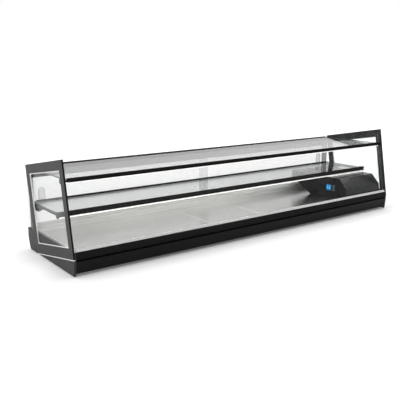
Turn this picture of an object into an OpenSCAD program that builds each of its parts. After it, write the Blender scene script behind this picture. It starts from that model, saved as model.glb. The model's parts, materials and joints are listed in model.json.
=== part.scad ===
// Two-tier heated countertop display case with raked end frames and sliding rear doors.
// +X runs to the right along the counter, +Y to the rear (the serving side) and +Z up.
// The origin is on the counter, under the middle of the base. Units are millimetres.

/* [Case] */
// Overall length over the two end frames
case_l = 1600; // [1400:10:1900]
// Depth of the base, from the front corner of the end frames to its rear face
case_d = 394; // [390:1:400]

/* [End frames] */
// Lean of the end frames towards the rear, in degrees
rake = 10.2; // [9.8:0.1:10.4]
// Width of an end frame along its own bars
frame_w = 327.5; // [324:0.5:329]
// Height of an end frame along its own posts
frame_h = 319; // [317:1:321]
// Thickness of an end frame
frame_t = 6; // [6:0.5:8]
// Width of the two posts
post_w = 28; // [26:1:30]
// Width of the top bar
top_bar_w = 33; // [31:1:34]
// Width of the bottom bar
bottom_bar_w = 35; // [33:1:36]

/* [Base] */
// Height of the top of the base above the counter
base_top = 82; // [80:0.5:83]
// Height of the hot deck's surface above the counter
deck_z = 64; // [61:0.5:65]
// Thickness of the folded steel of the base
sheet = 1.5; // [1.2:0.1:1.8]
// Number of rubber feet along the front, and again along the rear
foot_columns = 3; // [2:1:5]

/* [Shelves] */
// Height of the upper face of the middle shelf's glass
mid_z = 183; // [182:0.5:185]
// Height of the upper face of the top shelf's glass
top_z = 310; // [306:0.5:311]
// Thickness of both shelf glasses
shelf_glass_t = 6; // [5:0.5:6]
// Thickness of the front and end panes
pane_t = 5; // [4:0.5:5]

/* [Doors] */
// Thickness of the sliding door panels
door_t = 4; // [3:0.5:4]
// Overlap of the two doors at the middle when both are closed
door_overlap = 40; // [30:2:60]

/* [Control housing] */
// Length of the control housing along the case
housing_l = 240; // [230:5:260]
// Travel of the keys
key_travel = 0.8; // [0.5:0.1:1]
// Angle between the two positions of the power rocker
rocker_swing = 24; // [16:1:26]

/* [Hidden] */

$fn = 40;

end_x = case_l / 2;
front_y = -case_d / 2;
rear_y = case_d / 2;
frame_lift = 60;
frame_inner_x = end_x - frame_t;

black_paint = [0.11, 0.11, 0.115];
grey_paint = [0.27, 0.27, 0.275];
steel = [0.72, 0.72, 0.71];
pale_trim = [0.88, 0.88, 0.88];
clear_glass = [0.8, 0.86, 0.86, 0.35];

// Base section
cap_low = 3;
cap_back_t = 3;
cap_land_t = frame_t - 1;
cap_inner_x = frame_inner_x - cap_back_t;
base_low = 10;
chamfer_top_z = 45;
chassis_front_y = front_y + 10;
chassis_x = cap_inner_x - 0.5;
groove_low_z = 51;
groove_high_z = 59;
panel_y = rear_y - 3;
pan_rear_y = rear_y - 17.5;
fascia_return_y = chassis_front_y - 0.2;
seal_gap = 4;
deck_sheet = 1.2;
deck_wall_front_y = front_y + 13.8;
deck_wall_rear_y = rear_y - 22;
deck_wall_x = end_x - 16;
heater_count = 3;
heater_t = 2;
insulated_left_x = -end_x + 30;
insulated_right_x = end_x - 275;

// Panes and rails
pane_set_back = 2.5;
channel_seat_w = (base_top + deck_sheet + 2 - frame_lift) / cos(rake) + 1.5;
channel_top_w = channel_seat_w + 5;
inner_pane_x = frame_inner_x - 0.5 - pane_t;
rail_x = inner_pane_x - 0.5;
lip_depth = 10;
top_rail_low_z = top_z - 9;
top_lip_z = top_z + 3;
top_rail_rear_y = front_y + 110;
top_seat_z = top_z - shelf_glass_t - 1;
mid_front_y = front_y + 130;
mid_rail_low_z = mid_z - 13;
mid_lip_z = mid_z + 5;
mid_seat_z = mid_z - shelf_glass_t - 1;
mid_rear_y = rear_y - 29;
pad_r = 4;
pad_t = 1;
light_depth = 13;
light_drop = 6.5;
cover_wall = 1.2;
board_t = 1.2;

// Doors
inner_door_y = rear_y - 17;
outer_door_y = inner_door_y + 8;
groove_w = door_t + 1;
track_front_y = rear_y - 21;
track_rear_y = rear_y - 1;
track_low_z = base_top + deck_sheet;
track_top_z = track_low_z + 10;
track_groove_z = track_low_z + 4;
rear_rail_low_z = top_z - 16;
rear_rail_groove_z = top_z - 3.5;
valance_low_z = top_z - 42;
valance_t = 2;
door_low_z = track_groove_z + 3;
door_high_z = top_z - 10.5;
jamb_x = end_x - 24;
jamb_groove_x = end_x - 14;
door_outer_x = jamb_groove_x - 2;
pull_x = door_outer_x - 40;
pull_z = (door_low_z + door_high_z) / 2;
pull_h = 60;
pull_w = 22;

// Control housing
housing_right_x = end_x - 25;
housing_left_x = housing_right_x - housing_l;
panel_t = 3;
housing_wall = 2.5;
housing_low_z = deck_z + 0.2;
housing_fold_z = deck_z + 57;
housing_top_z = mid_rail_low_z - 8;
housing_front_y = raked_y(housing_low_z, 18);
housing_fold_y = raked_y(housing_fold_z, 18);
housing_ridge_y = housing_fold_y + housing_top_z - housing_fold_z;
housing_rear_y = rear_y - 29;
housing_undercut_y = 43;
housing_undercut_z = deck_z + 69.5;
display_y = -69;
display_z = deck_z + 50;
display_w = 30;
display_h = 26;
key_y = display_y - 30;
key_pitch = 10;
key_w = 14;
key_h = 6.4;
key_gap = 0.3;
wire_x = housing_right_x - 115;
wire_y = -60;
wire_r = 4;
driver_x = insulated_right_x + 30;
driver_y = 40;

// Rear services
switch_x = end_x - 110;
gland_x = end_x - 60;
service_z = 58;
gland_r = 8;
gland_bore_r = 4.5;
switch_w = 12.6;
switch_h = 18.6;
rocker_w = 9;
rocker_pivot_y = panel_y - 2;

// y of the raked front plane at height z, moved back by a distance at right angles to it
function raked_y(z, back = 0) = front_y + (z - frame_lift) * tan(rake) + back / cos(rake);

// Middle of each bottom bar's screws, counted along the bar
frame_screw_u = [40, 120, 200, 280];
frame_screw_w = bottom_bar_w / 2;
function frame_point(u, w) = [front_y + u * cos(rake) + w * sin(rake),
                              frame_lift - u * sin(rake) + w * cos(rake)];

// A YZ outline pulled out along X
module along_x(x0, x1) {
    translate([x0, 0, 0]) rotate([90, 0, 90]) linear_extrude(x1 - x0) children();
}

// A YZ outline pulled out along X over the same distance both sides of the middle
module across(half) {
    along_x(-half, half) children();
}

// A YZ rectangle between two corners
module yz_rect(low, high) {
    translate(low) square(high - low);
}

// Puts a flat outline into the leaning axes of the end frame
module in_frame() {
    translate([front_y, frame_lift]) rotate(-rake) children();
}

module frame_rect(grow = 0) {
    in_frame() translate([-grow, -grow]) square([frame_w + 2 * grow, frame_h + 2 * grow]);
}

module frame_window(shrink = 0) {
    in_frame() translate([post_w + shrink, bottom_bar_w + shrink])
        square([frame_w - 2 * post_w - 2 * shrink,
                frame_h - top_bar_w - bottom_bar_w - 2 * shrink]);
}

// A cylinder along X from x0 to x1
module x_rod(r, x0, x1, y, z) {
    translate([x0, y, z]) rotate([0, 90, 0]) cylinder(r = r, h = x1 - x0);
}

// A cylinder along Y from y0 to y1
module y_rod(r, y0, y1, x, z) {
    translate([x, y0, z]) rotate([-90, 0, 0]) cylinder(r = r, h = y1 - y0);
}

module box(low, high) {
    translate(low) cube(high - low);
}

module left() {
    mirror([1, 0, 0]) children();
}

module both() {
    children();
    left() children();
}

// ---------------------------------------------------------------- base

module base_pan() {
    color(black_paint) difference() {
        across(chassis_x) union() {
            yz_rect([chassis_front_y, base_low], [pan_rear_y, base_low + sheet]);
            yz_rect([chassis_front_y, base_low], [chassis_front_y + sheet, base_top - 3]);
            yz_rect([pan_rear_y - sheet, base_low], [pan_rear_y, base_low + 10]);
        }
        foot_places() translate([0, 0, base_low - 1]) cylinder(r = 2.75, h = 10);
    }
}

module upper_fascia() {
    color(black_paint) across(chassis_x) difference() {
        polygon([[raked_y(groove_high_z), groove_high_z], [raked_y(base_top), base_top],
                 [fascia_return_y, base_top], [fascia_return_y, groove_high_z]]);
        polygon([[raked_y(groove_high_z + sheet, sheet), groove_high_z + sheet],
                 [raked_y(base_top - sheet, sheet), base_top - sheet],
                 [fascia_return_y + 1, base_top - sheet],
                 [fascia_return_y + 1, groove_high_z + sheet]]);
    }
}

module lower_fascia() {
    color(black_paint) across(chassis_x) union() {
        polygon([[front_y + 1, groove_low_z], [front_y + 6.8, base_low],
                 [front_y + 6.8 + sheet, base_low], [front_y + 1 + sheet, groove_low_z]]);
        yz_rect([front_y + 1, groove_low_z - sheet], [fascia_return_y, groove_low_z]);
    }
}

vent_count = 12;
vent_pitch = 9;
vent_w = 4;
vent_low_z = 53;
vent_high_z = 71;
first_vent_x = end_x - 260;
panel_low_y = pan_rear_y + 2.6;

module rear_panel() {
    color(black_paint) difference() {
        across(chassis_x) polygon([[panel_y, base_top - 0.3], [panel_y, chamfer_top_z + 0.5],
                                   [panel_low_y, base_low], [panel_low_y - sheet, base_low],
                                   [panel_y - sheet, chamfer_top_z + 0.5],
                                   [panel_y - sheet, base_top - 0.3]]);
        box([switch_x - switch_w / 2 - 0.2, panel_y - 5, service_z - switch_h / 2 - 0.2],
            [switch_x + switch_w / 2 + 0.2, panel_y + 5, service_z + switch_h / 2 + 0.2]);
        y_rod(gland_r + 0.2, panel_y - 5, panel_y + 5, gland_x, service_z);
        for (i = [0 : vent_count - 1])
            box([first_vent_x + i * vent_pitch, panel_y - 5, vent_low_z],
                [first_vent_x + i * vent_pitch + vent_w, panel_y + 5, vent_high_z]);
    }
}

module cap_outline() {
    polygon([[raked_y(base_top), base_top], [front_y, frame_lift], [front_y + 5, cap_low],
             [rear_y - 14, cap_low], [rear_y, chamfer_top_z], [rear_y, base_top]]);
}

module frame_screw_holes(r, x0, x1) {
    for (u = frame_screw_u) {
        p = frame_point(u, frame_screw_w);
        x_rod(r, x0, x1, p[0], p[1]);
    }
}

module end_cap() {
    color(grey_paint) difference() {
        union() {
            along_x(cap_inner_x, frame_inner_x) cap_outline();
            along_x(frame_inner_x - 1, frame_inner_x + cap_land_t) difference() {
                cap_outline();
                frame_rect(seal_gap);
            }
        }
        frame_screw_holes(2.75, cap_inner_x - 1, frame_inner_x + 1);
    }
}

module end_cap_left() { left() end_cap(); }
module end_cap_right() { end_cap(); }

module deck_pan() {
    low = deck_z - deck_sheet;
    high = base_top + deck_sheet;
    color(steel) difference() {
        union() {
            across(deck_wall_x) union() {
                yz_rect([deck_wall_front_y, low], [deck_wall_rear_y, deck_z]);
                yz_rect([deck_wall_front_y, low], [deck_wall_front_y + deck_sheet, high]);
                yz_rect([deck_wall_rear_y - deck_sheet, low], [deck_wall_rear_y, high]);
            }
            across(frame_inner_x - 0.3) union() {
                yz_rect([raked_y(high, 0.5), base_top], [deck_wall_front_y + 1, high]);
                yz_rect([deck_wall_rear_y - deck_sheet, base_top], [rear_y - 1.5, high]);
            }
            both() union() {
                box([deck_wall_x - deck_sheet, deck_wall_front_y, low],
                    [deck_wall_x, deck_wall_rear_y, high]);
                box([deck_wall_x - deck_sheet, deck_wall_front_y, base_top],
                    [frame_inner_x - 0.3, deck_wall_rear_y, high]);
            }
        }
        translate([wire_x, wire_y, low - 5]) cylinder(r = 8, h = 10);
    }
}

module deck_heaters() {
    margin = 10;
    gap = 12;
    front = -140;
    rear = 130;
    span = (insulated_right_x - insulated_left_x - 2 * margin) / heater_count;
    high = deck_z - deck_sheet - 0.1;
    color("orangered") for (i = [0 : heater_count - 1])
        translate([insulated_left_x + margin + i * span, front, high - heater_t])
            cube([span - gap, rear - front, heater_t]);
}

module deck_insulation() {
    color("khaki") box([insulated_left_x, front_y + 20, base_low + sheet + 4],
                       [insulated_right_x, rear_y - 32, deck_z - deck_sheet - heater_t - 0.4]);
}

module deck_probe() {
    z = deck_z - deck_sheet - 3.3;
    color(steel) union() {
        y_rod(3, -40, 10, insulated_right_x + 12, z);
        y_rod(1.6, 10, 40, insulated_right_x + 12, z);
    }
}

module foot_places() {
    step = (case_l - 120) / (foot_columns - 1);
    for (i = [0 : foot_columns - 1])
        for (y = [front_y + 58, rear_y - 58])
            translate([-end_x + 60 + i * step, y, 0]) children();
}

// Rubber feet, each moulded round its own fixing stud
module feet() {
    color("dimgray") foot_places() union() {
        difference() {
            cylinder(r1 = 14, r2 = 16, h = base_low - 0.1, $fn = 48);
            translate([0, 0, -1]) cylinder(r = 5, h = 4);
        }
        translate([0, 0, base_low - 1]) cylinder(r = 2.5, h = 6);
    }
}

module cable_gland() {
    color("black") difference() {
        union() {
            y_rod(gland_r, panel_y - 14, panel_y + 0.5, gland_x, service_z);
            y_rod(gland_r + 3, panel_y, panel_y + 2.5, gland_x, service_z);
            translate([gland_x, panel_y - sheet - 5, service_z]) rotate([-90, 0, 0])
                cylinder(r = gland_r + 4, h = 5, $fn = 6);
        }
        y_rod(gland_bore_r, panel_y - 20, panel_y + 20, gland_x, service_z);
    }
}

// ---------------------------------------------------------------- glazing and end frames

module pane_strip(u0, u1, w0, w1) {
    in_frame() translate([u0, w0]) square([u1 - u0, w1 - w0]);
}

pane_u0 = pane_set_back;
pane_u1 = pane_set_back + pane_t;

module front_glass_channel() {
    color(steel) across(rail_x) intersection() {
        difference() {
            pane_strip(0, lip_depth, 15, channel_top_w);
            pane_strip(pane_u0 - 1, pane_u1 + 1, channel_seat_w - 1, channel_top_w + 1);
        }
        yz_rect([front_y - 5, base_top + deck_sheet], [front_y + 40, base_top + 30]);
    }
}

module front_glass_gasket() {
    color(pale_trim) across(rail_x - 0.2) difference() {
        pane_strip(pane_u0 - 1, pane_u1 + 1, channel_seat_w - 1, channel_top_w);
        pane_strip(pane_u0, pane_u1, channel_seat_w, channel_top_w + 1);
    }
}

front_glass_top_w = (top_rail_low_z + 4 - frame_lift) / cos(rake);

module front_glass() {
    color(clear_glass) across(rail_x - 0.2)
        pane_strip(pane_u0, pane_u1, channel_seat_w, front_glass_top_w);
}

module end_frame() {
    color(grey_paint) difference() {
        along_x(frame_inner_x, end_x) difference() {
            frame_rect();
            frame_window();
        }
        frame_screw_holes(screw_r + 0.1, frame_inner_x - 1, blind_x);
        bracket_screw_holes(screw_r + 0.1, frame_inner_x - 1, blind_x);
        x_rod(stud_r + 0.1, frame_inner_x - 1, blind_x, stud_y, stud_z);
    }
}

module end_frame_left() { left() end_frame(); }
module end_frame_right() { end_frame(); }

// The end pane closes the frame's window and the gap between the rear post and the doors
module end_glass() {
    low_z = base_top + deck_sheet;
    inset = 12;
    top_front = frame_point(inset, frame_h - inset);
    rear = rear_y - 19;
    rear_top_z = top_front[1] - (rear - top_front[0]) * tan(rake);
    color(clear_glass) difference() {
        along_x(inner_pane_x, inner_pane_x + pane_t)
            polygon([[raked_y(low_z, inset), low_z], top_front, [rear, rear_top_z],
                     [rear, low_z]]);
        bracket_screw_holes(screw_r + 1, inner_pane_x - 1, frame_inner_x);
        x_rod(stud_r + 1, inner_pane_x - 1, frame_inner_x, stud_y, stud_z);
    }
}

module end_glass_left() { left() end_glass(); }
module end_glass_right() { end_glass(); }

bead_w = 3;

module end_bead() {
    color(pale_trim) along_x(frame_inner_x + 0.5, frame_inner_x + 4.5) difference() {
        frame_window();
        frame_window(bead_w);
    }
}

module end_bead_left() { left() end_bead(); }
module end_bead_right() { end_bead(); }

// The seal under and behind an end frame, against the raised lands of its end cap
module end_seal() {
    color(pale_trim) along_x(frame_inner_x, frame_inner_x + cap_land_t - 0.5) intersection() {
        cap_outline();
        difference() {
            in_frame() translate([0, -seal_gap]) square([frame_w + seal_gap, frame_h + seal_gap]);
            frame_rect();
        }
    }
}

module end_seal_left() { left() end_seal(); }
module end_seal_right() { end_seal(); }

screw_r = 2;
stud_r = 1.5;
blind_x = end_x - 1.5;
stud_z = top_lip_z - 3.2;
stud_y = raked_y(stud_z, lip_depth / 2);

// A button-head screw along X, from the underside of its head into the end frame
module button_screw(p, head_x) {
    difference() {
        union() {
            x_rod(4, head_x - 2.2, head_x, p[0], p[1]);
            x_rod(screw_r, head_x - 0.5, blind_x - 0.4, p[0], p[1]);
        }
        translate([head_x - 3.2, p[0], p[1]]) rotate([0, 90, 0])
            cylinder(r = 1.6, h = 2.2, $fn = 6);
    }
}

// Every screw and stud that holds the end frames, the brackets and the top front rail
module frame_screws() {
    color(steel) both() {
        for (u = frame_screw_u)
            button_screw(frame_point(u, frame_screw_w), cap_inner_x);
        for (p = bracket_screw_places)
            button_screw(p, bracket_x);
        x_rod(stud_r, rail_x - 9, blind_x - 0.4, stud_y, stud_z);
    }
}

// ---------------------------------------------------------------- shelves

post_mid_u = frame_w - post_w / 2;
bracket_screw_z = mid_z - 17;
bracket_post_y = raked_y(bracket_screw_z, post_mid_u);
bracket_screw_places = [for (s = [-1, 1]) [bracket_post_y + 7 * s, bracket_screw_z]];

module bracket_screw_holes(r, x0, x1) {
    for (p = bracket_screw_places)
        x_rod(r, x0, x1, p[0], p[1]);
}

light_y = raked_y(top_rail_low_z, lip_depth);
top_leg_y = light_y + light_depth + 0.2;

// The front lip carries the front pane in a groove; the hollow leg behind hides the lamp
module top_front_rail() {
    wall = 2;
    rear = top_rail_rear_y;
    low = top_rail_low_z;
    color(black_paint) difference() {
        across(rail_x) difference() {
            polygon([[raked_y(low), low], [raked_y(top_lip_z), top_lip_z],
                     [raked_y(top_lip_z, lip_depth), top_lip_z],
                     [raked_y(top_seat_z, lip_depth), top_seat_z], [rear, top_seat_z],
                     [rear, low - 14], [top_leg_y, low - light_drop], [top_leg_y, low]]);
            pane_strip(pane_u0 - 0.5, pane_u1 + 0.5, 200, front_glass_top_w + 0.5);
            polygon([[top_leg_y + wall, low], [rear - wall, low], [rear - wall, low - 11.5],
                     [top_leg_y + wall, low - light_drop + 1.5]]);
        }
        both() x_rod(stud_r + 0.05, rail_x - 10, rail_x + 1, stud_y, stud_z);
    }
}

// The upper door track. A valance hangs from its front to hide the tops of the doors
module top_rear_rail() {
    rail_front_y = track_front_y - 3;
    color(black_paint) across(rail_x) difference() {
        union() {
            yz_rect([rail_front_y, rear_rail_low_z], [track_rear_y, top_z]);
            yz_rect([rail_front_y, valance_low_z], [rail_front_y + valance_t, rear_rail_low_z + 1]);
            yz_rect([rail_front_y - 9, top_seat_z - 4], [rail_front_y, top_seat_z]);
        }
        for (y = [inner_door_y, outer_door_y])
            yz_rect([y - 0.5, rear_rail_low_z - 1], [y - 0.5 + groove_w, rear_rail_groove_z]);
    }
}

module top_shelf_glass() {
    color(clear_glass) box([-rail_x + 0.5, raked_y(top_z, lip_depth + 0.5), top_z - shelf_glass_t],
                           [rail_x - 0.5, track_front_y - 3.5, top_z]);
}

// Section of the translucent cover under a rail: its sloping face shows to the front
module light_cover_section(y, z, depth, drop) {
    difference() {
        polygon([[y, z], [y + drop * 0.7, z - drop], [y + depth, z - drop], [y + depth, z]]);
        polygon([[y + cover_wall * 1.3, z + 1], [y + cover_wall * 1.3, z],
                 [y + drop * 0.7 + cover_wall * 0.7, z - drop + cover_wall],
                 [y + depth - cover_wall, z - drop + cover_wall],
                 [y + depth - cover_wall, z + 1]]);
    }
}

module light_board(y, z, half) {
    lamp_pitch = 32;
    count = floor(2 * (half - 20) / lamp_pitch);
    color("ivory") union() {
        box([-half + 10, y + 4.5, z - board_t], [half - 10, y + 10.5, z]);
        for (i = [0 : count])
            translate([(i - count / 2) * lamp_pitch - 1.4, y + 6.1, z - board_t - 0.8])
                cube([2.8, 2.8, 1]);
    }
}

module top_light_board() {
    light_board(light_y, top_rail_low_z, rail_x);
}

module top_light_cover() {
    color("white") across(rail_x)
        light_cover_section(light_y, top_rail_low_z, light_depth, light_drop);
}

mid_rail_x = rail_x - 3;
mid_light_y = mid_front_y + 2;
mid_leg_y = mid_light_y + light_depth + 0.2;

module mid_front_rail() {
    color(black_paint) across(mid_rail_x) polygon([
        [mid_front_y, mid_rail_low_z], [mid_front_y, mid_lip_z], [mid_front_y + 4, mid_lip_z],
        [mid_front_y + 4, mid_seat_z], [mid_front_y + 27, mid_seat_z],
        [mid_front_y + 23, mid_rail_low_z - light_drop], [mid_leg_y, mid_rail_low_z - light_drop],
        [mid_leg_y, mid_rail_low_z]]);
}

module mid_rail_end_caps() {
    color(grey_paint) both() along_x(mid_rail_x, mid_rail_x + 2) polygon([
        [mid_front_y, mid_rail_low_z - 1], [mid_front_y, mid_lip_z],
        [mid_front_y + 27, mid_z + 1], [mid_front_y + 27, mid_seat_z],
        [mid_front_y + 23, mid_rail_low_z - 7], [mid_front_y + 7, mid_rail_low_z - 7]]);
}

bracket_t = 4;
bracket_x = rail_x - bracket_t;
flange_x = rail_x - 15;

// Side plate bolted to the rear post, with a flange that runs forward under the glass
module mid_bracket() {
    nose_y = rear_y - 137;
    low_front_y = rear_y - 87;
    low_rear_y = rear_y - 47;
    low = mid_z - 28;
    heel_z = mid_z - 23;
    flange_low = mid_seat_z - 3;
    color(grey_paint) difference() {
        union() {
            along_x(bracket_x, rail_x) polygon([
                [nose_y, mid_seat_z], [low_front_y, low], [low_rear_y, low],
                [mid_rear_y, heel_z], [mid_rear_y, mid_seat_z]]);
            box([flange_x, mid_front_y + 27.2, flange_low], [rail_x, mid_rear_y, mid_seat_z]);
        }
        bracket_screw_holes(screw_r + 0.4, bracket_x - 1, rail_x + 1);
    }
}

module mid_bracket_left() { left() mid_bracket(); }
module mid_bracket_right() { mid_bracket(); }

module mid_rear_rail() {
    color(black_paint) across(flange_x - 0.5) difference() {
        yz_rect([mid_rear_y - 18, mid_z - shelf_glass_t - 2.5], [mid_rear_y, mid_z + 2]);
        yz_rect([mid_rear_y - 19, mid_z - shelf_glass_t - 0.2], [mid_rear_y - 2.8, mid_z + 0.2]);
    }
}

module mid_shelf_glass() {
    color(clear_glass) box([-mid_rail_x + 0.5, mid_front_y + 4.5, mid_z - shelf_glass_t],
                           [mid_rail_x - 0.5, mid_rear_y - 3, mid_z]);
}

module mid_light_board() {
    light_board(mid_light_y, mid_rail_low_z, mid_rail_x);
}

module mid_light_cover() {
    color("white") across(mid_rail_x)
        light_cover_section(mid_light_y, mid_rail_low_z, light_depth, light_drop);
}

pad_columns = 7;

module pad_row(y, z, half) {
    for (i = [0 : pad_columns - 1])
        translate([(i / (pad_columns - 1) - 0.5) * 2 * half, y, z])
            cylinder(r = pad_r, h = pad_t);
}

// Clear pads between the shelf glasses and the rails and brackets that carry them
module shelf_pads() {
    color(pale_trim) {
        pad_row(top_rail_rear_y - 25, top_seat_z, rail_x - 30);
        pad_row(track_front_y - 7.5, top_seat_z, rail_x - 30);
        pad_row(mid_front_y + 16, mid_seat_z, mid_rail_x - 30);
        both() for (y = [-20, 60, 140])
            translate([flange_x + 6.5, y, mid_seat_z]) cylinder(r = pad_r, h = pad_t);
    }
}

// ---------------------------------------------------------------- rear doors

module door_jamb() {
    color(pale_trim) difference() {
        box([jamb_x, rear_y - 18.8, track_low_z],
            [frame_inner_x - 0.2, track_rear_y + 0.4, rear_rail_low_z - 0.2]);
        for (y = [inner_door_y, outer_door_y])
            box([jamb_x - 1, y - 0.5, track_low_z - 1],
                [jamb_groove_x, y - 0.5 + groove_w, rear_rail_low_z + 1]);
    }
}

module door_jamb_left() { left() door_jamb(); }
module door_jamb_right() { door_jamb(); }

module lower_door_track() {
    color(pale_trim) across(jamb_x - 0.3) difference() {
        yz_rect([track_front_y, track_low_z], [track_rear_y, track_top_z]);
        for (y = [inner_door_y, outer_door_y])
            yz_rect([y - 0.5, track_groove_z], [y - 0.5 + groove_w, track_top_z + 1]);
    }
}

// Upright slot with round ends, through the door along Y
module pull_slot(w, y0, y1, x) {
    r = w / 2;
    union() {
        box([x - r, y0, pull_z - pull_h / 2 + pull_w / 2],
            [x + r, y1, pull_z + pull_h / 2 - pull_w / 2]);
        for (s = [-1, 1])
            y_rod(r, y0, y1, x, pull_z + s * (pull_h - pull_w) / 2);
    }
}

// A door is drawn for the right-hand side and mirrored for the left
module door_panel(y) {
    color([0.92, 0.94, 0.95, 0.5]) difference() {
        box([-door_overlap / 2, y, door_low_z], [door_outer_x, y + door_t, door_high_z]);
        pull_slot(pull_w, y - 1, y + door_t + 1, pull_x);
    }
}

module door_pull(y) {
    color(pale_trim) difference() {
        union() {
            pull_slot(pull_w - 0.4, y - 2, y + door_t, pull_x);
            pull_slot(pull_w + 6, y + door_t, y + door_t + 1, pull_x);
        }
        pull_slot(pull_w - 3, y - 1, y + door_t + 2, pull_x);
    }
}

module door_glides(y) {
    color("white") for (x = [60, door_outer_x - 60])
        box([x - 20, y + 0.2, track_groove_z + 0.1], [x + 20, y + door_t - 0.2, door_low_z]);
}

module door_left() { left() door_panel(inner_door_y); }
module door_right() { door_panel(outer_door_y); }
module door_pull_left() { left() door_pull(inner_door_y); }
module door_pull_right() { door_pull(outer_door_y); }
module door_glides_left() { left() door_glides(inner_door_y); }
module door_glides_right() { door_glides(outer_door_y); }

// ---------------------------------------------------------------- control housing

module housing_outline() {
    polygon([[housing_front_y, housing_low_z], [housing_fold_y, housing_fold_z],
             [housing_ridge_y, housing_top_z], [housing_rear_y, housing_top_z],
             [housing_rear_y, housing_undercut_z], [housing_undercut_y, housing_low_z]]);
}

module housing_cavity() {
    w = housing_wall;
    polygon([[raked_y(housing_low_z - 1, 18 + w), housing_low_z - 1],
             [raked_y(housing_fold_z - 1, 18 + w), housing_fold_z - 1],
             [housing_ridge_y + w * 0.4, housing_top_z - w], [housing_rear_y - w, housing_top_z - w],
             [housing_rear_y - w, housing_undercut_z - 30],
             [housing_undercut_y + 60, housing_low_z - 1]]);
}

module control_housing() {
    color([0.2, 0.2, 0.2]) difference() {
        along_x(housing_left_x + panel_t, housing_right_x) housing_outline();
        along_x(housing_left_x, housing_right_x - housing_wall) housing_cavity();
    }
}

// Places of the three keys on the control panel
key_places = [for (i = [1, 0, -1]) [key_y, display_z + i * key_pitch]];

module control_panel() {
    color([0.07, 0.07, 0.08]) difference() {
        along_x(housing_left_x, housing_left_x + panel_t) difference() {
            housing_outline();
            translate([display_y - display_w / 2, display_z - display_h / 2])
                square([display_w, display_h]);
            for (p = key_places)
                translate([p[0] - key_w / 2 - key_gap, p[1] - key_h / 2 - key_gap])
                    square([key_w + 2 * key_gap, key_h + 2 * key_gap]);
        }
        along_x(housing_left_x - 1, housing_left_x + 1)
            translate([display_y - display_w / 2 - 2, display_z - display_h / 2 - 2])
                square([display_w + 4, display_h + 4]);
    }
}

module display_lens() {
    color([0.1, 0.1, 0.12, 0.6]) along_x(housing_left_x - 0.2, housing_left_x + 0.9)
        translate([display_y - display_w / 2 - 1.9, display_z - display_h / 2 - 1.9])
            square([display_w + 3.8, display_h + 3.8]);
}

module display_module() {
    color("deepskyblue") union() {
        along_x(housing_left_x + 1.2, housing_left_x + panel_t + 2)
            translate([display_y - display_w / 2 + 0.2, display_z - display_h / 2 + 0.2])
                square([display_w - 0.4, display_h - 0.4]);
        along_x(housing_left_x + panel_t + 0.1, housing_left_x + panel_t + 4)
            translate([display_y - display_w / 2 - 2, display_z - display_h / 2 - 3])
                square([display_w + 4, display_h + 6]);
    }
}

// A key cap: its face stands proud of the panel and its flange catches behind it
module key(p) {
    color([0.25, 0.26, 0.28]) union() {
        along_x(housing_left_x - key_travel, housing_left_x + panel_t + 2)
            translate([p[0] - key_w / 2, p[1] - key_h / 2]) square([key_w, key_h]);
        along_x(housing_left_x + panel_t + 0.2, housing_left_x + panel_t + 1.4)
            translate([p[0] - key_w / 2 - 1.2, p[1] - key_h / 2 - 1])
                square([key_w + 2.4, key_h + 2]);
    }
}

module key_power() { key(key_places[0]); }
module key_up() { key(key_places[1]); }
module key_down() { key(key_places[2]); }

// Sheet that closes the undercut rear of the housing, with louvres for its board
module housing_back_cover() {
    louvres = 8;
    louvre_pitch = 11;
    louvre_w = 4;
    slope = atan((housing_undercut_z - housing_low_z) / (housing_rear_y - housing_undercut_y));
    length = (housing_rear_y - housing_undercut_y) / cos(slope);
    louvre_l = housing_l - 70;
    color([0.2, 0.2, 0.2])
        translate([housing_left_x + panel_t + 0.3, housing_undercut_y, housing_low_z + 0.2])
            rotate([slope, 0, 0]) difference() {
                translate([0, 4, 0])
                    cube([housing_l - panel_t - housing_wall - 0.6, length - 9, 2]);
                for (i = [0 : louvres - 1])
                    translate([30, 28 + i * louvre_pitch, -1]) cube([louvre_l, louvre_w, 4]);
            }
}

module control_board() {
    x = housing_left_x + panel_t + key_travel + 6;
    color("darkgreen") union() {
        box([x, key_y - 22, display_z - 32], [x + 1.6, display_y + 40, display_z + 26]);
        for (p = key_places)
            x_rod(2.5, x - 3.6, x + 0.5, p[0], p[1]);
        box([x + 1, key_y - 10, display_z - 26], [x + 18, key_y + 10, display_z - 10]);
        box([x + 1, display_y, display_z - 26], [x + 16, display_y + 28, display_z - 4]);
        for (i = [0 : 4])
            box([x + 1, key_y - 10 + i * 12, display_z + 10],
                [x + 10, key_y - 2 + i * 12, display_z + 20]);
    }
}

// ---------------------------------------------------------------- electrical bay

module light_driver() {
    length = 140;
    tab = 8;
    floor_z = base_low + sheet;
    rear = driver_y + 55;
    color("silver") difference() {
        union() {
            box([driver_x, driver_y, floor_z], [driver_x + length, rear, floor_z + 30]);
            box([driver_x - tab, driver_y, floor_z], [driver_x + length + tab, rear, floor_z + 2]);
        }
        for (x = [driver_x - tab / 2, driver_x + length + tab / 2])
            translate([x, (driver_y + rear) / 2, floor_z - 1]) cylinder(r = 1.8, h = 5);
    }
}

// Harness from the control board, down through the deck, to the supply in the base
module wiring_loom() {
    bend_r = 16;
    low_z = base_low + sheet + 8 + wire_r;
    color("black") union() {
        translate([wire_x, wire_y, low_z + bend_r]) cylinder(r = wire_r, h = 60);
        translate([wire_x, wire_y + bend_r, low_z + bend_r]) rotate([90, 0, 90])
            rotate([0, 0, 180]) rotate_extrude(angle = 90) translate([bend_r, 0])
                circle(r = wire_r);
        y_rod(wire_r, wire_y + bend_r, driver_y, wire_x, low_z);
        translate([wire_x, wire_y, deck_z - 4]) cylinder(r = 7.7, h = 7);
    }
}

// Half length of the trunnions that the rocker tips on
trunnion_x = rocker_w / 2 + 1.2;
trunnion_r = 1;

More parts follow.
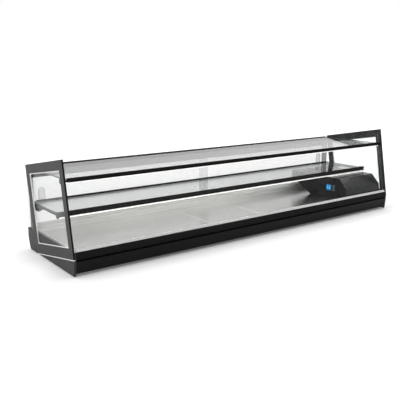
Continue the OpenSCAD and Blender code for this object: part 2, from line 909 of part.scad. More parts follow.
module power_switch() {
    color("black") difference() {
        union() {
            box([switch_x - switch_w / 2, panel_y - 15, service_z - switch_h / 2],
                [switch_x + switch_w / 2, panel_y + 0.5, service_z + switch_h / 2]);
            box([switch_x - switch_w / 2 - 1.5, panel_y, service_z - switch_h / 2 - 1.5],
                [switch_x + switch_w / 2 + 1.5, panel_y + 2, service_z + switch_h / 2 + 1.5]);
            for (z = [-5, 0, 5])
                box([switch_x - 2, panel_y - 19, service_z + z - 0.4],
                    [switch_x + 2, panel_y - 14, service_z + z + 0.4]);
        }
        box([switch_x - rocker_w / 2 - 0.4, panel_y - 10, service_z - 8],
            [switch_x + rocker_w / 2 + 0.4, panel_y + 3, service_z + 8]);
        x_rod(trunnion_r + 0.05, switch_x - trunnion_x - 0.2, switch_x + trunnion_x + 0.2,
              rocker_pivot_y, service_z);
    }
}

// The rocker is drawn in its off position, tipped by half of its swing about its trunnions
module power_rocker() {
    color("firebrick") translate([0, rocker_pivot_y, service_z])
        rotate([-rocker_swing / 2, 0, 0]) union() {
            along_x(switch_x - rocker_w / 2, switch_x + rocker_w / 2)
                polygon([[3.6, -7], [2.8, 0], [3.6, 7], [1, 7], [-2.5, 2.2], [-2.5, -2.2],
                         [1, -7]]);
            x_rod(trunnion_r, switch_x - trunnion_x, switch_x + trunnion_x, 0, 0);
        }
}

base_pan();
upper_fascia();
lower_fascia();
rear_panel();
end_cap_left();
end_cap_right();
deck_pan();
deck_heaters();
deck_insulation();
deck_probe();
front_glass_channel();
front_glass_gasket();
front_glass();
end_frame_left();
end_frame_right();
end_glass_left();
end_glass_right();
end_bead_left();
end_bead_right();
end_seal_left();
end_seal_right();
frame_screws();
top_front_rail();
top_rear_rail();
top_shelf_glass();
top_light_board();
top_light_cover();
mid_front_rail();
mid_rail_end_caps();
mid_rear_rail();
mid_bracket_left();
mid_bracket_right();
mid_shelf_glass();
mid_light_board();
mid_light_cover();
shelf_pads();
door_jamb_left();
door_jamb_right();
lower_door_track();
door_left();
door_right();
door_pull_left();
door_pull_right();
door_glides_left();
door_glides_right();
control_housing();
control_panel();
housing_back_cover();
display_lens();
display_module();
key_power();
key_up();
key_down();
control_board();
light_driver();
wiring_loom();
power_switch();
power_rocker();
cable_gland();
feet();
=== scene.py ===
# %% [markdown]
# # A heated display case, dressed over its CAD frame
#
# The case stands on a counter: two raked end frames, two glass shelves, a heated steel deck and a
# black control housing. Every CAD part arrives in its place, in metres, so this lesson never
# moves one. It gives each part rounded edges and a real finish, and adds the small things that
# CAD leaves out, such as lamps, ribs on the feet and marks on the keys.
#
# The frame comes first. The finished model must not outgrow it.

# %% Load the frame
import json
import math

import bmesh
import bpy
from mathutils import Matrix, Vector


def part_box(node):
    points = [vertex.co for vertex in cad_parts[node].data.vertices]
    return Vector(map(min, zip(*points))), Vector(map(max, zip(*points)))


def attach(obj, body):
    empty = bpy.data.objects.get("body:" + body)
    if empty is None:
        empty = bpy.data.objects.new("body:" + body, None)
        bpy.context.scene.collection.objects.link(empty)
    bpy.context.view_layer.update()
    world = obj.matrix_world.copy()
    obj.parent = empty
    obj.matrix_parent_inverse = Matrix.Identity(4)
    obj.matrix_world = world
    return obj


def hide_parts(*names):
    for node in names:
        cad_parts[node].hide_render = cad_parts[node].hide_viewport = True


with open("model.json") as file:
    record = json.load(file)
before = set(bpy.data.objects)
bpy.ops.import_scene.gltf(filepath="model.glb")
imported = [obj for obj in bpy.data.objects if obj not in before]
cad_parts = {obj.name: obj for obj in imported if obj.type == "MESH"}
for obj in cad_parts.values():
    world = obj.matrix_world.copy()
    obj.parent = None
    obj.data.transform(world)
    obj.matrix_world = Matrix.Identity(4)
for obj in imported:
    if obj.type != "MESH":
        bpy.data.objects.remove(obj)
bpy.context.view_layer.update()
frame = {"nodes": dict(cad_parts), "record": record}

MM = 0.001
body_of_node = {}
for body_name, node_names in frame["record"]["behaviour"]["bodies"].items():
    for node_name in node_names:
        body_of_node[node_name] = body_name

# %% [markdown]
# ## Helpers for node materials
#
# A real surface is never one flat colour: paint has a fine skin, steel has a grain and glass has
# faint smears. Each finish below is a small node tree. These helpers add a node, join two sockets
# and read the Object coordinates, which stay with a piece when it moves.

# %% Material helpers
def new_finish(name):
    """A material with an empty node tree, its Principled shader joined to its output."""
    finish = bpy.data.materials.new(name)
    finish.use_nodes = True
    tree = finish.node_tree
    tree.nodes.clear()
    output = tree.nodes.new("ShaderNodeOutputMaterial")
    shader = tree.nodes.new("ShaderNodeBsdfPrincipled")
    tree.links.new(shader.outputs["BSDF"], output.inputs["Surface"])
    return finish, tree, shader


def set_sockets(node, **values):
    """Plain values on a node's own sockets, named in words with underscores."""
    for words, value in values.items():
        node.inputs[words.replace("_", " ")].default_value = value


def stretched_coordinates(tree, scale):
    """Object coordinates, stretched by a scale for each axis."""
    where = tree.nodes.new("ShaderNodeTexCoord")
    mapping = tree.nodes.new("ShaderNodeMapping")
    mapping.inputs["Scale"].default_value = scale
    tree.links.new(where.outputs["Object"], mapping.inputs["Vector"])
    return mapping.outputs["Vector"]


def noise_on(tree, vector, scale, detail=3.0, rough=0.55):
    noise = tree.nodes.new("ShaderNodeTexNoise")
    noise.inputs["Scale"].default_value = scale
    noise.inputs["Detail"].default_value = detail
    noise.inputs["Roughness"].default_value = rough
    tree.links.new(vector, noise.inputs["Vector"])
    return noise.outputs["Fac"]


def between(tree, factor, low, high):
    """A number from low to high as the factor goes from 0.3 to 0.7, where noise lives."""
    spread = tree.nodes.new("ShaderNodeMapRange")
    spread.inputs["From Min"].default_value = 0.3
    spread.inputs["From Max"].default_value = 0.7
    spread.inputs["To Min"].default_value = low
    spread.inputs["To Max"].default_value = high
    tree.links.new(factor, spread.inputs["Value"])
    return spread.outputs["Result"]


def two_tones(tree, factor, dark, light):
    """A colour between two tones."""
    ramp = tree.nodes.new("ShaderNodeValToRGB")
    ramp.color_ramp.elements[0].position = 0.3
    ramp.color_ramp.elements[1].position = 0.7
    ramp.color_ramp.elements[0].color = (*dark, 1)
    ramp.color_ramp.elements[1].color = (*light, 1)
    tree.links.new(factor, ramp.inputs["Fac"])
    return ramp.outputs["Color"]


def bump_from(tree, shader, height, distance, strength=0.5):
    bump = tree.nodes.new("ShaderNodeBump")
    bump.inputs["Distance"].default_value = distance
    bump.inputs["Strength"].default_value = strength
    tree.links.new(height, bump.inputs["Height"])
    tree.links.new(bump.outputs["Normal"], shader.inputs["Normal"])


def shades(value, spread):
    """A dark and a light grey either side of a value."""
    return (value * (1 - spread),) * 3, (value * (1 + spread),) * 3


# %% [markdown]
# ## Powder-coated steel
#
# The fascias, rails and end frames are folded or cut steel with a baked powder coat. Its skin is
# a very fine orange peel, so the highlight is soft and slightly broken. A fine noise drives the
# bump, and a broad one shifts the tone by a few percent, as handling does. The black parts mirror
# very little, so their specular level is low.

# %% Powder coats
def powder_coat(name, value, shine, rough):
    finish, tree, shader = new_finish(name)
    here = stretched_coordinates(tree, (1, 1, 1))
    broad = noise_on(tree, here, 9.0)
    fine = noise_on(tree, here, 1400.0, detail=2.0)
    tree.links.new(two_tones(tree, broad, *shades(value, 0.12)), shader.inputs["Base Color"])
    tree.links.new(between(tree, broad, rough - 0.06, rough + 0.06), shader.inputs["Roughness"])
    bump_from(tree, shader, fine, 0.00004, 0.35)
    shader.inputs["Specular IOR Level"].default_value = shine
    return finish


black_coat = powder_coat("black_powder_coat", 0.008, 0.08, 0.5)
rail_coat = powder_coat("rail_powder_coat", 0.012, 0.006, 0.55)
frame_coat = powder_coat("grey_powder_coat", 0.042, 0.16, 0.5)
print("powder coats:", black_coat.name, rail_coat.name, frame_coat.name)

# %% [markdown]
# ## Polished and plated steel
#
# The deck is a pressed stainless pan, polished along its length: long thin streaks change its
# roughness, so that plates mirror in it but blur a little. Stretching the noise along X is all
# that makes the grain. Zinc-plated screws are duller and bluish.

# %% Steels
def grained_steel(name, value, rough_low, rough_high, streak, tint=(1.0, 1.0, 0.985)):
    finish, tree, shader = new_finish(name)
    grain = noise_on(tree, stretched_coordinates(tree, streak), 1.0, detail=4.0)
    broad = noise_on(tree, stretched_coordinates(tree, (1, 1, 1)), 5.0)
    tones = [tuple(t * c for t, c in zip(tone, tint)) for tone in shades(value, 0.05)]
    tree.links.new(two_tones(tree, broad, *tones), shader.inputs["Base Color"])
    tree.links.new(between(tree, grain, rough_low, rough_high), shader.inputs["Roughness"])
    bump_from(tree, shader, grain, 0.00002, 0.25)
    set_sockets(shader, Metallic=1.0, Anisotropic=0.3)
    return finish


deck_steel = grained_steel("polished_deck_steel", 0.6, 0.14, 0.26, (3, 500, 500))
# A paler, rougher copy of the deck steel. On the upstands its paler tone is painted light; the
# seams use it too.
seam_and_lit_upstand_steel = grained_steel("pale_lit_upstand_and_seam_steel", 0.95, 0.5, 0.62, (3, 700, 700))
channel_steel = grained_steel("polished_channel_steel", 0.95, 0.14, 0.24, (3, 700, 700))
zinc_steel = grained_steel("zinc_plated_steel", 0.5, 0.3, 0.45, (60, 60, 60), (0.97, 0.98, 1.0))
print("steels:", deck_steel.name, seam_and_lit_upstand_steel.name, channel_steel.name, zinc_steel.name)

# %% [markdown]
# ## Clear glass and its edges
#
# A pane lets light straight through and mirrors more the flatter it is looked at. Mixing a
# Transparent shader and a Glossy one does just that, and lamps shine through it, which refracting
# glass blocks. The mirror's share is 4 percent face on and climbs with the fifth power of Layer
# Weight's Facing value, the same for both sides of the pane. A very faint noise in the mirror's
# roughness is the wiping marks. The cut edges gather the green of the glass and read dark, so
# they get a finish of their own.

# %% Glass
def arithmetic(tree, kind, first, second):
    """A Math node: the first value is a socket, the second a number."""
    sums = tree.nodes.new("ShaderNodeMath")
    sums.operation = kind
    sums.inputs[1].default_value = second
    tree.links.new(first, sums.inputs[0])
    return sums.outputs[0]


def pane_glass(name, tint, mirror):
    finish, tree, shader = new_finish(name)
    tree.nodes.remove(shader)
    output = tree.nodes["Material Output"]
    through = tree.nodes.new("ShaderNodeBsdfTransparent")
    gloss = tree.nodes.new("ShaderNodeBsdfGlossy")
    facing = tree.nodes.new("ShaderNodeLayerWeight")
    blend = tree.nodes.new("ShaderNodeMixShader")
    through.inputs["Color"].default_value = (*tint, 1)
    gloss.inputs["Color"].default_value = (*mirror, 1)
    facing.inputs["Blend"].default_value = 0.5
    steep = arithmetic(tree, "POWER", facing.outputs["Facing"], 5.0)
    share = arithmetic(tree, "ADD", arithmetic(tree, "MULTIPLY", steep, 0.96), 0.04)
    smears = noise_on(tree, stretched_coordinates(tree, (6, 6, 14)), 1.0)
    tree.links.new(between(tree, smears, 0.01, 0.05), gloss.inputs["Roughness"])
    tree.links.new(share, blend.inputs["Fac"])
    tree.links.new(through.outputs["BSDF"], blend.inputs[1])
    tree.links.new(gloss.outputs["BSDF"], blend.inputs[2])
    tree.links.new(blend.outputs["Shader"], output.inputs["Surface"])
    return finish


front_pane_glass = pane_glass("front_pane_glass", (0.985, 0.99, 0.988), (0.3, 0.3, 0.3))
end_pane_glass = pane_glass("end_pane_glass", (0.98, 0.985, 0.983), (0.5, 0.5, 0.5))
shelf_glass = pane_glass("shelf_glass", (0.93, 0.94, 0.937), (0.8, 0.8, 0.8))

glass_edge, edge_tree, edge_shader = new_finish("glass_cut_edge")
edge_waves = noise_on(edge_tree, stretched_coordinates(edge_tree, (4, 4, 260)), 1.0)
edge_tone = two_tones(edge_tree, edge_waves, (0.1, 0.13, 0.125), (0.2, 0.25, 0.24))
edge_tree.links.new(edge_tone, edge_shader.inputs["Base Color"])
set_sockets(edge_shader, Roughness=0.18, IOR=1.5)
print("glass:", front_pane_glass.name, end_pane_glass.name, shelf_glass.name)

# %% [markdown]
# ## Plastics, silicone and rubber
#
# Moulded plastic has a very fine spark-eroded grain, silicone is matt and waxy, and rubber is
# nearly black and dusty. One function makes them all from a tone, a roughness, a grain size and a
# shine. The control housing is the glossiest: its grain is shallow and a clear coat lies over it.

# %% Moulded finishes
def moulded(name, tone, spread, rough, grain, depth, shine=0.5, coat=0.0, soft=0.0):
    finish, tree, shader = new_finish(name)
    here = stretched_coordinates(tree, (1, 1, 1))
    broad = noise_on(tree, here, 14.0)
    dark = tuple(c * (1 - spread) for c in tone)
    light = tuple(c * (1 + spread) for c in tone)
    tree.links.new(two_tones(tree, broad, dark, light), shader.inputs["Base Color"])
    tree.links.new(between(tree, broad, rough * 0.85, rough * 1.15), shader.inputs["Roughness"])
    bump_from(tree, shader, noise_on(tree, here, grain, detail=2.0), depth, 0.3)
    shader.inputs["Specular IOR Level"].default_value = shine
    set_sockets(shader, Coat_Weight=coat, Coat_Roughness=0.06, Subsurface_Weight=soft)
    return finish


housing_gloss = moulded("housing_gloss", (0.016, 0.016, 0.017), 0.1, 0.26, 30, 0.00002, 0.4, 0.15)
panel_gloss = moulded("panel_gloss", (0.006, 0.006, 0.007), 0.1, 0.3, 30, 0.00002, 0.15)
seal_silicone = moulded("pale_silicone", (0.88, 0.88, 0.87), 0.04, 0.5, 500, 0.00003, 0.4)
track_white = moulded("white_track_plastic", (0.8, 0.8, 0.79), 0.03, 0.38, 900, 0.00002)
key_grey = moulded("key_plastic", (0.055, 0.06, 0.068), 0.06, 0.4, 1200, 0.00002)
switch_black = moulded("switch_plastic", (0.02, 0.02, 0.02), 0.08, 0.4, 900, 0.00002)
rocker_red = moulded("rocker_plastic", (0.42, 0.015, 0.012), 0.06, 0.22, 900, 0.00001)
foot_rubber = moulded("foot_rubber", (0.025, 0.025, 0.026), 0.2, 0.75, 350, 0.0001, 0.25)
wire_cover = moulded("wire_cover", (0.02, 0.02, 0.022), 0.15, 0.45, 600, 0.00003)
print("moulded finishes:", sum("_" in m.name for m in bpy.data.materials))

# %% [markdown]
# ## Lit parts
#
# Under each front rail an opal cover spreads the light of a row of lamps. The cover glows evenly,
# so it is a white plastic with its own emission. The lamps behind are small and warmer. The
# display is a blue backlit screen: fine rows of dots darken it a little, from a wave texture
# across its height.

# %% Lamps, covers and display
def glowing(name, tone, glow, strength, rough=0.4, rows=0.0):
    finish, tree, shader = new_finish(name)
    here = stretched_coordinates(tree, (1, 1, 1))
    if rows:
        texture = tree.nodes.new("ShaderNodeTexWave")
        texture.bands_direction = "Z"
        texture.inputs["Scale"].default_value = rows
        tree.links.new(here, texture.inputs["Vector"])
        factor = texture.outputs["Fac"]
    else:
        factor = noise_on(tree, here, 30.0)
    dark = tuple(c * 0.82 for c in glow)
    tree.links.new(two_tones(tree, factor, dark, glow), shader.inputs["Emission Color"])
    tree.links.new(two_tones(tree, factor, tuple(c * 0.9 for c in tone), tone),
                   shader.inputs["Base Color"])
    set_sockets(shader, Emission_Strength=strength, Roughness=rough)
    return finish


opal_cover = glowing("opal_light_cover", (0.85, 0.85, 0.83), (1.0, 0.99, 0.96), 0.75)
lamp_glow = glowing("lamp_glow", (0.9, 0.85, 0.6), (1.0, 0.9, 0.68), 12.0)
display_blue = glowing("display_blue", (0.0, 0.05, 0.12), (0.0, 0.22, 0.55), 1.5, 0.3, 900.0)
figure_glow = glowing("figure_glow", (0.1, 0.5, 0.8), (0.15, 0.66, 1.0), 2.2, 0.3)
# The printed key marks get a faint glow of their own. This glow is painted light, since they are
# no lamp.
painted_glow_mark = glowing("key_mark_painted_glow", (0.25, 0.3, 0.34), (0.25, 0.32, 0.38), 0.35, 0.5)
print("lit finishes made")

# %% [markdown]
# ## Door panels, boards and the hidden parts
#
# The doors are a pale translucent plastic sheet: a Principled shader with a plain alpha keeps
# them see-through. The parts in the base are hardly ever seen, but they are still what they are:
# a green circuit board with copper tracks, orange silicone heater mats with their element showing
# as lines, and yellow mineral wool with fibres that run every way.

# %% Sheet, boards and base parts
door_sheet, door_tree, door_shader = new_finish("pale_door_sheet")
door_clouds = noise_on(door_tree, stretched_coordinates(door_tree, (1, 1, 1)), 6.0)
door_tree.links.new(two_tones(door_tree, door_clouds, (0.8, 0.8, 0.8), (0.86, 0.86, 0.86)),
                    door_shader.inputs["Base Color"])
door_tree.links.new(between(door_tree, door_clouds, 0.1, 0.16), door_shader.inputs["Roughness"])
set_sockets(door_shader, Alpha=0.16)

lens_smoke, lens_tree, lens_shader = new_finish("smoked_lens")
lens_clouds = noise_on(lens_tree, stretched_coordinates(lens_tree, (1, 1, 1)), 40.0)
lens_tree.links.new(between(lens_tree, lens_clouds, 0.04, 0.1), lens_shader.inputs["Roughness"])
set_sockets(lens_shader, Base_Color=(0.01, 0.01, 0.012, 1), Alpha=0.25)


def lined(name, dark, light, scale, axis, rough):
    """Parallel lines of a second tone, a little wavy: tracks on a board or an element in a mat."""
    finish, tree, shader = new_finish(name)
    texture = tree.nodes.new("ShaderNodeTexWave")
    texture.bands_direction = axis
    texture.inputs["Scale"].default_value = scale
    texture.inputs["Distortion"].default_value = 1.5
    tree.links.new(stretched_coordinates(tree, (1, 1, 1)), texture.inputs["Vector"])
    tree.links.new(two_tones(tree, texture.outputs["Fac"], dark, light),
                   shader.inputs["Base Color"])
    bump_from(tree, shader, texture.outputs["Fac"], 0.0001, 0.4)
    set_sockets(shader, Roughness=rough)
    return finish


board_green = lined("circuit_board", (0.01, 0.09, 0.03), (0.03, 0.2, 0.07), 160.0, "Y", 0.4)
lamp_board = lined("white_lamp_board", (0.7, 0.7, 0.66), (0.85, 0.85, 0.8), 60.0, "X", 0.5)
heater_mat = lined("heater_mat", (0.5, 0.1, 0.02), (0.62, 0.17, 0.05), 22.0, "Y", 0.6)
mineral_wool = moulded("mineral_wool", (0.6, 0.52, 0.25), 0.25, 0.95, 260, 0.0015, 0.1)
pull_clear, pull_tree, pull_shader = new_finish("clear_pull_plastic")
pull_clouds = noise_on(pull_tree, stretched_coordinates(pull_tree, (1, 1, 1)), 25.0)
pull_tree.links.new(two_tones(pull_tree, pull_clouds, (0.82,) * 3, (0.9,) * 3),
                    pull_shader.inputs["Base Color"])
pull_tree.links.new(between(pull_tree, pull_clouds, 0.15, 0.25), pull_shader.inputs["Roughness"])
set_sockets(pull_shader, Alpha=0.4)
print("door, board and base finishes made")

# %% [markdown]
# ## From CAD nodes to finished pieces
#
# CAD edges are knife sharp, and a sharp edge catches no light. Real folded and moulded parts have
# a small radius, so each visible node is copied, its loose triangles are merged, flat regions are
# joined back into single faces, and a Bevel modifier rounds what turns by more than 30 degrees.
# The CAD node itself is left as it is, and the rounded piece stands for it.

# %% Round the edges of a CAD node
WELD_GAP = 0.005 * MM
FLAT_ANGLE = math.radians(0.5)
EDGE_ANGLE = math.radians(30)


def merged_copy(node):
    """A new mesh with the CAD node's shape, welded, with its flat regions as single faces."""
    mesh = frame["nodes"][node].data.copy()
    mesh.name = f"{node}_finished"
    shape = bmesh.new()
    shape.from_mesh(mesh)
    bmesh.ops.remove_doubles(shape, verts=shape.verts, dist=WELD_GAP)
    bmesh.ops.dissolve_limit(shape, angle_limit=FLAT_ANGLE, verts=shape.verts,
                             edges=shape.edges)
    shape.to_mesh(mesh)
    shape.free()
    mesh.materials.clear()
    return mesh


def stand_for(piece, node):
    """The piece takes the node's place and body, and the node is hidden."""
    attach(piece, body_of_node[node])
    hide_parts(node)


def smooth_by_angle(mesh, degrees=35):
    mesh.shade_smooth()
    mesh.set_sharp_from_angle(angle=math.radians(degrees))


def rounded(node, radius_mm, finish, segments=2):
    """The node with rounded edges and a finish."""
    mesh = merged_copy(node)
    mesh.materials.append(finish)
    smooth_by_angle(mesh)
    piece = bpy.data.objects.new(f"{node}_piece", mesh)
    bpy.context.scene.collection.objects.link(piece)
    if radius_mm:
        bevel = piece.modifiers.new("rounded_edges", "BEVEL")
        bevel.width = radius_mm * MM
        bevel.segments = segments
        bevel.limit_method = "ANGLE"
        bevel.angle_limit = EDGE_ANGLE
        bevel.harden_normals = True
        bevel.use_clamp_overlap = True
    stand_for(piece, node)
    return piece


def paint(node, finish):
    """A CAD node kept as it is, with a better finish."""
    mesh = frame["nodes"][node].data
    if mesh.materials:
        mesh.materials[0] = finish
    else:
        mesh.materials.append(finish)


# %% [markdown]
# ## The base
#
# The base is folded from 1.5 mm sheet, so its outside radii are about 1 mm. The end caps are
# thicker and get a slightly larger one. The groove between the two fascias is the front of the
# base pan. The deck's floor is polished. Its upstands and flanges are the same steel, given a
# rougher copy whose paler tone is painted light: the extra light that those faces catch.

# %% Base pieces
for node in ("upper_fascia", "lower_fascia", "rear_panel"):
    rounded(node, 0.6, black_coat)
rounded("base_pan", 0.4, black_coat)
for side in ("left", "right"):
    rounded(f"end_cap_{side}", 0.9, frame_coat, 3)
UPSTAND_LOW_Z = 80 * MM
deck_piece = rounded("deck_pan", 0.5, deck_steel)
deck_piece.data.materials.append(seam_and_lit_upstand_steel)
# Upright faces and faces above the floor take the paler steel, which is painted light for the
# light they catch.
for face in deck_piece.data.polygons:
    upright = abs(face.normal.z) < 0.5
    face.material_index = 1 if upright or face.center.z > UPSTAND_LOW_Z else 0
rounded("front_glass_channel", 0.4, channel_steel)

# %% [markdown]
# ## End frames and their seals
#
# Each end frame is one cut plate, so its four bars are one piece with a soft 1 mm edge. Its faces
# that look along X take the grey coat, and all its other faces take the darker black coat. The
# pale
# beads and seals are extruded silicone: their rounded lips give the thin bright lines that run
# round the windows and along the base.

# %% End frames
def rim_finish(mesh, across, finish):
    """Paints the faces that don't look along a direction with a second finish."""
    mesh.materials.append(finish)
    thin = Vector(across).normalized()
    for face in mesh.polygons:
        face.material_index = 0 if abs(face.normal.dot(thin)) > 0.9 else 1


for side in ("left", "right"):
    end_frame = rounded(f"end_frame_{side}", 0.8, frame_coat, 3)
    rim_finish(end_frame.data, (1, 0, 0), rail_coat)
    rounded(f"end_bead_{side}", 0.5, seal_silicone)
    rounded(f"end_seal_{side}", 0.6, seal_silicone)
rounded("front_glass_gasket", 0.2, seal_silicone)
rounded("frame_screws", 0.0, zinc_steel)

# %% [markdown]
# ## Glass with polished edges
#
# A pane needs two finishes: one for its broad faces and one for its cut edges. The broad faces
# are the ones whose normal lies along the pane's thin direction, so the code compares each face's
# normal with it and sorts the faces into two material slots. The arris is ground to 0.4 mm. The
# top pane also has a black border printed along its rear, so that plane is cut and painted.

# %% Panes
def glazed(node, across, finish, edge=glass_edge, arris_mm=0.4):
    """A pane: faces along the thin direction are clear, and the rest are cut edges."""
    piece = rounded(node, 0.0, finish)
    rim_finish(piece.data, across, edge)
    arris = piece.modifiers.new("ground_arris", "BEVEL")
    arris.width = arris_mm * MM
    arris.segments = 1
    arris.limit_method = "ANGLE"
    arris.angle_limit = EDGE_ANGLE
    arris.material = 1
    return piece


RAKE = math.radians(10.2)
BORDER_W = 20 * MM
glazed("front_glass", (0, -math.cos(RAKE), math.sin(RAKE)), front_pane_glass, front_pane_glass)
glazed("end_glass_left", (1, 0, 0), end_pane_glass)
glazed("end_glass_right", (1, 0, 0), end_pane_glass)
top_pane = glazed("top_shelf_glass", (0, 0, 1), shelf_glass)
border_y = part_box("top_shelf_glass")[1].y - BORDER_W
shape = bmesh.new()
shape.from_mesh(top_pane.data)
bmesh.ops.bisect_plane(shape, geom=shape.verts[:] + shape.edges[:] + shape.faces[:],
                       plane_co=(0, border_y, 0), plane_no=(0, 1, 0))
for face in shape.faces:
    if face.normal.z > 0.9 and face.calc_center_median().y > border_y:
        face.material_index = 2
shape.to_mesh(top_pane.data)
shape.free()
top_pane.data.materials.append(rail_coat)
glazed("mid_shelf_glass", (0, 0, 1), shelf_glass)
print("five panes glazed")

# %% [markdown]
# ## Rails, brackets and light covers
#
# The rails are extruded and coated, with edges just broken. The opal covers are thin extrusions
# that clip under them. The middle rail's end caps are cut plates in the frame's colour.

# %% Rails
for node in ("top_front_rail", "top_rear_rail", "mid_front_rail", "mid_rear_rail"):
    rounded(node, 0.5, rail_coat)
rounded("mid_rail_end_caps", 0.4, frame_coat)
for side in ("left", "right"):
    rounded(f"mid_bracket_{side}", 0.5, frame_coat)
for tier in ("top", "mid"):
    rounded(f"{tier}_light_cover", 0.4, opal_cover)
rounded("shelf_pads", 0.15, seal_silicone)

# %% [markdown]
# ## Rear doors
#
# Two pale sheets slide in a double track. Each has a finger pull pushed into a slot, and two
# glides. The sheets keep a plain bevel: their rims are sawn and flamed, so they are a little
# rounded.

# %% Doors
for side in ("left", "right"):
    rounded(f"door_{side}", 0.4, door_sheet)
    rounded(f"door_pull_{side}", 0.4, pull_clear)
    rounded(f"door_glides_{side}", 0.5, track_white)
    rounded(f"door_jamb_{side}", 0.5, track_white)
rounded("lower_door_track", 0.4, track_white)

# %% [markdown]
# ## Control housing
#
# The housing is a moulded shell with 1.2 mm edges, and its left face is a separate gloss panel
# with the display and three keys. The joint between shell and panel shows as a fine line, because
# both have their own rounded edge.

# %% Housing
rounded("control_housing", 1.2, housing_gloss, 3)
rounded("control_panel", 0.6, panel_gloss, 2)
rounded("housing_back_cover", 0.4, housing_gloss)
rounded("display_lens", 0.2, lens_smoke)
rounded("display_module", 0.1, display_blue)
for key in ("power", "up", "down"):
    rounded(f"key_{key}", 0.4, key_grey, 3)
rounded("power_switch", 0.3, switch_black)
rounded("power_rocker", 0.3, rocker_red, 3)
rounded("cable_gland", 0.5, switch_black)

# %% [markdown]
# ## Hidden parts keep their CAD shape
#
# What lies under the deck or inside the housing is right as it is, so these nodes only get their
# finish, straight on the CAD mesh.

# %% Finishes for hidden nodes
hidden_finishes = {
    "deck_heaters": heater_mat,
    "deck_insulation": mineral_wool,
    "deck_probe": zinc_steel,
    "control_board": board_green,
    "light_driver": zinc_steel,
    "wiring_loom": wire_cover,
}
for node, finish in hidden_finishes.items():
    paint(node, finish)
print(len(hidden_finishes), "hidden nodes painted")

# %% [markdown]
# ## A Geometry Nodes tree for rows
#
# Lamps, feet, vents and screws all repeat along a line. One small tree does every row: a Mesh
# Line gives the points, Instance on Points puts a unit on each, Realize Instances turns them into
# one mesh and Set Material paints it. Start, Step and Count are named inputs, set by the
# identifier of their sockets before the object is first evaluated.

# %% The row tree
def row_tree(name, unit, finish):
    """The tree, and the identifiers of its inputs by name."""
    tree = bpy.data.node_groups.new(name, "GeometryNodeTree")
    kinds = {"Start": "NodeSocketVector", "Step": "NodeSocketVector", "Count": "NodeSocketInt"}
    sockets = {
        label: tree.interface.new_socket(name=label, in_out="INPUT", socket_type=kind)
        for label, kind in kinds.items()
    }
    tree.interface.new_socket(name="Geometry", in_out="OUTPUT", socket_type="NodeSocketGeometry")
    inputs = tree.nodes.new("NodeGroupInput")
    output = tree.nodes.new("NodeGroupOutput")
    line = tree.nodes.new("GeometryNodeMeshLine")
    line.mode = "OFFSET"
    place = tree.nodes.new("GeometryNodeInstanceOnPoints")
    source = tree.nodes.new("GeometryNodeObjectInfo")
    source.inputs["Object"].default_value = unit
    real = tree.nodes.new("GeometryNodeRealizeInstances")
    coat = tree.nodes.new("GeometryNodeSetMaterial")
    coat.inputs["Material"].default_value = finish
    join = tree.links.new
    join(inputs.outputs["Start"], line.inputs["Start Location"])
    join(inputs.outputs["Step"], line.inputs["Offset"])
    join(inputs.outputs["Count"], line.inputs["Count"])
    join(line.outputs["Mesh"], place.inputs["Points"])
    join(source.outputs["Geometry"], place.inputs["Instance"])
    join(place.outputs["Instances"], real.inputs["Geometry"])
    join(real.outputs["Geometry"], coat.inputs["Geometry"])
    join(coat.outputs["Geometry"], output.inputs["Geometry"])
    return tree, {label: socket.identifier for label, socket in sockets.items()}


def row_mesh(name, unit_mesh, finish, start, step, count):
    """The plain mesh of a row of units."""
    unit = bpy.data.objects.new(f"{name}_unit", unit_mesh)
    bpy.context.scene.collection.objects.link(unit)
    tree, identifiers = row_tree(f"{name}_tree", unit, finish)
    host = bpy.data.objects.new(f"{name}_host", bpy.data.meshes.new(f"{name}_host"))
    bpy.context.scene.collection.objects.link(host)
    rows = host.modifiers.new("rows", "NODES")
    rows.node_group = tree
    for label, value in (("Start", start), ("Step", step), ("Count", count)):
        rows[identifiers[label]] = value
    host.update_tag()
    ready = host.evaluated_get(bpy.context.evaluated_depsgraph_get())
    mesh = bpy.data.meshes.new_from_object(ready)
    mesh.name = name
    bpy.data.objects.remove(host)
    bpy.data.objects.remove(unit)
    bpy.data.node_groups.remove(tree)
    return mesh


def joined_piece(name, meshes):
    """One object from several meshes, with each mesh's own finish."""
    shape = bmesh.new()
    finishes = []
    for mesh in meshes:
        first = len(shape.faces)
        shape.from_mesh(mesh)
        shape.faces.ensure_lookup_table()
        for face in shape.faces[first:]:
            face.material_index += len(finishes)
        finishes += [finish for finish in mesh.materials]
    whole = bpy.data.meshes.new(name)
    shape.to_mesh(whole)
    shape.free()
    for finish in finishes:
        whole.materials.append(finish)
    piece = bpy.data.objects.new(name, whole)
    bpy.context.scene.collection.objects.link(piece)
    return piece


# %% [markdown]
# ## Small units
#
# A row needs one unit to repeat. Two makers cover them: a block with chamfered edges, and a
# turned shape from a short profile of radius and height, closed at both ends.

# %% Unit makers
def block_unit(name, size_mm, chamfer_mm=0.1):
    """A chamfered block centred on its base."""
    shape = bmesh.new()
    bmesh.ops.create_cube(shape, size=1.0)
    sx, sy, sz = (v * MM for v in size_mm)
    bmesh.ops.scale(shape, vec=(sx, sy, sz), verts=shape.verts)
    bmesh.ops.translate(shape, vec=(0, 0, sz / 2), verts=shape.verts)
    bmesh.ops.bevel(shape, geom=shape.edges[:], offset=chamfer_mm * MM, segments=1,
                    affect="EDGES")
    mesh = bpy.data.meshes.new(name)
    shape.to_mesh(mesh)
    shape.free()
    return mesh


